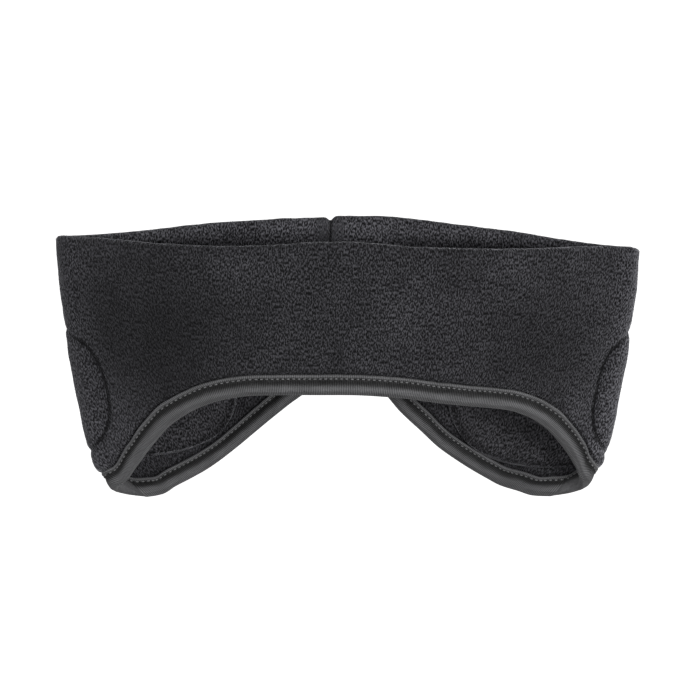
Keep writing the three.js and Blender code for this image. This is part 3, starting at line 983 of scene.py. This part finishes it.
# In shares of the way from a pad's middle to its edge: where it is stitched and how far that pulls it in,
# how wide the painted shade along the stitching is, and from where on it is held while it is stuffed.
PAD_STITCHED, PAD_STITCHED_WIDTH, PAD_PAINTED_SHADE_WIDTH, PAD_HELD = 0.955, 0.02, 0.035, 0.93
PAD_STITCHED_DEEP = 0.35
PAD_GATHERS, PAD_GATHER, PAD_GATHER_AT, PAD_GATHER_WIDTH = 36, 0.16, 0.86, 0.08
PAD_LUMPS = 0.3
PAD_CLOTH_MIDDLE = 60  # where the middle of its cloth place lies
STUFF_FRAMES = 20


def make_pad(side):
    """A flat oval pad, stitched down round its edge and blown up softly towards the ear."""
    pad = PADS[side]
    end, back, _, half_length, half_height, above, below = pad
    centre = pad_centre(pad)
    bm = bmesh.new()
    bmesh.ops.create_grid(bm, x_segments=PAD_COLUMNS, y_segments=PAD_ROWS, size=1.0)
    uv = bm.loops.layers.uv.new("cloth")
    painted_crease_shade = bm.verts.layers.float.new("painted_crease_shade")
    rim_edges = [edge for edge in bm.edges if edge.is_boundary]
    copy = bmesh.ops.duplicate(bm, geom=bm.verts[:] + bm.edges[:] + bm.faces[:])
    under = {item for item in copy["geom"] if isinstance(item, bmesh.types.BMVert)}
    copied_edges = [item for item in copy["geom"] if isinstance(item, bmesh.types.BMEdge)]
    under_edges = [edge for edge in copied_edges if edge.is_boundary]
    bmesh.ops.translate(bm, verts=list(under), vec=(0, 0, -1))
    bmesh.ops.bridge_loops(bm, edges=rim_edges + under_edges)
    # The square grid is drawn onto the oval: each spot, and how far out it is.
    spots, spreads = {}, {}
    for vert in bm.verts:
        x = vert.co.x * math.sqrt(1 - vert.co.y**2 / 2)
        y = vert.co.y * math.sqrt(1 - vert.co.x**2 / 2)
        spread = spreads[vert] = math.hypot(x, y)
        power = above if y > 0 else below
        squared = spread / max(abs(x) ** power + abs(y) ** power, 1e-12) ** (1 / power)
        spots[vert] = (x * squared, y * squared)
    for face in bm.faces:
        for loop in face.loops:
            x, y = spots[loop.vert]
            across = 0.1 if loop.vert in under else 0.0
            left, low = PAD_CLOTH_MIDDLE + x * half_length, PAD_CLOTH_MIDDLE + y * half_height
            loop[uv].uv = (left * MM + across, low * MM)
    for vert, (x, y) in spots.items():
        z = centre + half_height * y
        along = beside_fold(end, back + half_length * x, z)
        spread = spreads[vert]
        angle = math.atan2(y, x)
        thick = 0.0
        if vert not in under:
            crown = math.sqrt(max(1 - spread**4, 0))
            wander = 2 * noise.noise(Vector((x * 3, y * 3, end)))
            gathers = PAD_GATHER * math.cos(angle * PAD_GATHERS + wander)
            thick = PAD_EDGE + (PAD - PAD_EDGE) * crown
            thick += gathers * bell(spread - PAD_GATHER_AT, PAD_GATHER_WIDTH)
            thick += PAD_LUMPS * noise.noise(Vector((x * 2.6, y * 2.2, end * 3.0)))
            thick -= PAD_STITCHED_DEEP * bell(spread - PAD_STITCHED, PAD_STITCHED_WIDTH)
        # Painted shade along the stitching round the pad's edge.
        vert[painted_crease_shade] = bell(spread - PAD_STITCHED, PAD_PAINTED_SHADE_WIDTH)
        vert.co = on_wall(along, z, -(WALL / 2 + GAP * 0.6 + thick)) * MM
    bmesh.ops.recalc_face_normals(bm, faces=bm.faces)
    bm.verts.index_update()
    held = [vert.index for vert in bm.verts if vert in under or spreads[vert] > PAD_HELD]
    piece = add_piece(side + "_ear_cushion", bm, pad_fleece_painted_lighter, ["ear_pad_" + side])
    stuff(piece, held)
    rounding = piece.modifiers.new("rounding", "SUBSURF")
    rounding.levels = rounding.render_levels = 1


def stuff(piece, held):
    """Blows the pad up a little as cloth and keeps what that gives, within PAD_MOVE."""
    start = [vert.co.copy() for vert in piece.data.vertices]
    group = piece.vertex_groups.new(name="stitched_down")
    group.add(held, 1.0, "REPLACE")
    cloth = piece.modifiers.new("stuffing", "CLOTH")
    cloth.settings.vertex_group_mass = group.name
    cloth.settings.quality = 6
    cloth.settings.mass = 0.2
    cloth.settings.tension_stiffness = cloth.settings.compression_stiffness = 12
    cloth.settings.bending_stiffness = 1.0
    cloth.settings.use_pressure = True
    cloth.settings.uniform_pressure_force = 4.0
    cloth.settings.effector_weights.gravity = 0.0
    scene = bpy.context.scene
    for frame_number in range(1, STUFF_FRAMES + 1):
        scene.frame_set(frame_number)
    shown = piece.evaluated_get(bpy.context.evaluated_depsgraph_get())
    moved = [vert.co.copy() for vert in shown.data.vertices]
    piece.modifiers.remove(cloth)
    scene.frame_set(1)
    most = 0.0
    for vert, before, after in zip(piece.data.vertices, start, moved):
        move = after - before
        most = max(most, move.length)
        if move.length > PAD_MOVE * MM:
            move *= PAD_MOVE * MM / move.length
        vert.co = before + move
    piece.vertex_groups.clear()
    print("stuffing", piece.name, "moved at most", round(most / MM, 2), "mm")


# Loose fibres of the nap

FIBRE_COLUMNS, FIBRE_ROWS = 260, 100
FIBRE_LENGTH = 0.5
FIBRE_ROOT = 0.25  # how deep a fibre starts under the face
FIBRE_LEAN = 0.45
ON_RIM = 0.93  # a fibre whose share up is over this stands on the rim instead


def make_fibres(name, side, seed):
    """Short loose fibres that stand out of the nap: tiny closed spikes rooted in it."""
    rng = random.Random(seed)
    bm = bmesh.new()
    bmesh.ops.create_grid(bm, x_segments=FIBRE_COLUMNS, y_segments=FIBRE_ROWS, size=1.0)
    bmesh.ops.split_edges(bm, edges=bm.edges)
    feet = bmesh.ops.duplicate(bm, geom=bm.verts[:] + bm.edges[:] + bm.faces[:])
    tops = [item for item in feet["geom"] if isinstance(item, bmesh.types.BMFace)]
    upper = set(tops)
    bottoms = [face for face in bm.faces if face not in upper]
    bmesh.ops.reverse_faces(bm, faces=bottoms)
    frames = []
    for top, bottom in zip(tops, bottoms):
        share_along, share_up = rng.random(), rng.random()
        along = -1 + 2 * share_along
        free = hem(along) + (TAPE_HEIGHT + GAP) * lean(along)
        z = free + 0.6 + (rim(along) - free - 1.4) * share_up
        if share_up > ON_RIM:
            z = rim(along) - 1.6 * rng.random()
        offset = wall_offset(along, min(z, rim(along) - WALL / 2), free, side)
        if z > rim(along) - WALL / 2:
            offset *= math.sqrt(max(1 - ((z - rim(along) + WALL / 2) / (WALL / 2)) ** 2, 0))
        at = on_wall(along, z, offset)
        out = (on_wall(along, z, offset + side) - at).normalized()
        beside = Vector((0, 0, 1)).cross(out).normalized()
        over = out.cross(beside)
        frames.append((at, out, beside, over))
        wide = rng.uniform(0.05, 0.1)
        turn = rng.uniform(0, math.pi / 2)
        corners = []
        for k in range(4):
            angle = turn + k * math.pi / 2
            corner = (beside * math.cos(angle) + over * math.sin(angle)) * wide
            corners.append((at - out * FIBRE_ROOT + corner) * MM)
        for vert, corner in zip(top.verts, corners):
            vert.co = corner
        for vert, corner in zip(bottom.verts, reversed(corners)):
            vert.co = corner
    tips = bmesh.ops.poke(bm, faces=tops, offset=0.0, center_mode="MEAN")["verts"]
    for tip, (at, out, beside, over) in zip(tips, frames):
        stand = FIBRE_LENGTH * rng.uniform(0.45, 1.25)
        aside, aloft = rng.gauss(0, FIBRE_LEAN), rng.gauss(0, FIBRE_LEAN)
        tip.co = (at + out * stand + (beside * aside + over * aloft) * stand) * MM
    bmesh.ops.remove_doubles(bm, verts=bm.verts, dist=2e-7)
    bmesh.ops.recalc_face_normals(bm, faces=bm.faces)
    return add_piece(name, bm, fibre)


# Putting it together

band = make_band()
tape, tape_length = make_tape()
stitches = make_stitches()
for side in PADS:
    make_pad(side)
fibres = [make_fibres("nap_fibres_outside", 1, 3), make_fibres("nap_fibres_inside", -1, 4)]

# Floor, light and camera

# In metres, as is all of this section.
FLOOR = cad_box[0].z - 0.0006
HALF_WIDTH = 6.0
RUN = 7.2  # the paper's length, from its front edge
FRONT = 2.0  # how far in front of the object it starts
FLAT = 3.4  # how much of it lies flat
CURVED = 1.6  # how much more is curved, before the rest goes straight up


def make_stage():
    """A white floor that curves up into a backdrop."""
    bm = bmesh.new()
    bmesh.ops.create_grid(bm, x_segments=2, y_segments=48, size=1.0)
    radius = CURVED / (math.pi / 2)
    for vert in bm.verts:
        run = (vert.co.y + 1) * RUN / 2
        bend = min(max(run - FLAT, 0.0), CURVED) / radius
        y = min(run, FLAT) - FRONT + radius * math.sin(bend)
        rise = radius * (1 - math.cos(bend)) + max(run - FLAT - CURVED, 0.0)
        vert.co = Vector((vert.co.x * HALF_WIDTH, y, FLOOR + rise))
    bmesh.ops.recalc_face_normals(bm, faces=bm.faces)
    material, _, shader = new_material("white_paper")
    set_inputs(shader, Base_Color=(0.9, 0.9, 0.9, 1.0), Roughness=0.9)
    set_inputs(shader, Emission_Color=(1.0, 1.0, 1.0, 1.0), Emission_Strength=1.0)
    mesh = bpy.data.meshes.new("backdrop")
    bm.to_mesh(mesh)
    bm.free()
    mesh.materials.append(material)
    mesh.shade_smooth()
    backdrop = bpy.data.objects.new("backdrop", mesh)
    bpy.context.scene.collection.objects.link(backdrop)
    # The paper shows white without lighting the object: the lamps and the sky do that.
    backdrop.visible_diffuse = backdrop.visible_glossy = False


# Oval lamps that face the origin: name, place, width, height, power in watts.
LAMPS = [
    ("front_right", (0.95, -1.3, 0.19), 0.7, 0.22, 12.6),
    ("front_left", (-1.0, -1.1, 0.28), 0.7, 0.25, 6.0),
    ("right", (1.3, -0.4, 0.2), 0.5, 0.3, 2.6),
    ("left", (-1.3, -0.4, 0.2), 0.5, 0.3, 0.8),
    ("behind_right", (1.1, 0.75, 0.15), 0.5, 0.4, 4.0),
    ("behind_left", (-1.1, 0.75, 0.15), 0.5, 0.4, 1.6),
]
SKY = 0.12


make_stage()
scene = bpy.context.scene
for name, place, wide, high, power in LAMPS:
    data = bpy.data.lights.new(name, "AREA")
    data.shape, data.size, data.size_y, data.energy = "ELLIPSE", wide, high, power
    lamp = bpy.data.objects.new(name, data)
    lamp.location = place
    lamp.rotation_euler = (-Vector(place)).to_track_quat("-Z", "Y").to_euler()
    scene.collection.objects.link(lamp)

scene.world = scene.world or bpy.data.worlds.new("studio")
scene.world.use_nodes = True
set_inputs(scene.world.node_tree.nodes["Background"], Color=(1.0, 1.0, 1.0, 1.0), Strength=SKY)
scene.view_settings.view_transform = "Standard"

AIM = Vector((0.0008, 0.0, 0.0128))
RANGE = 1.2
RISE = math.radians(12.5)  # how far the camera looks down
camera_data = bpy.data.cameras.new("camera")
camera_data.sensor_width = 36.0
camera_data.lens = 142.5
camera = bpy.data.objects.new("camera", camera_data)
camera.location = AIM + RANGE * Vector((0.0, -math.cos(RISE), math.sin(RISE)))
camera.rotation_euler = (math.pi / 2 - RISE, 0.0, 0.0)
scene.collection.objects.link(camera)
scene.camera = camera
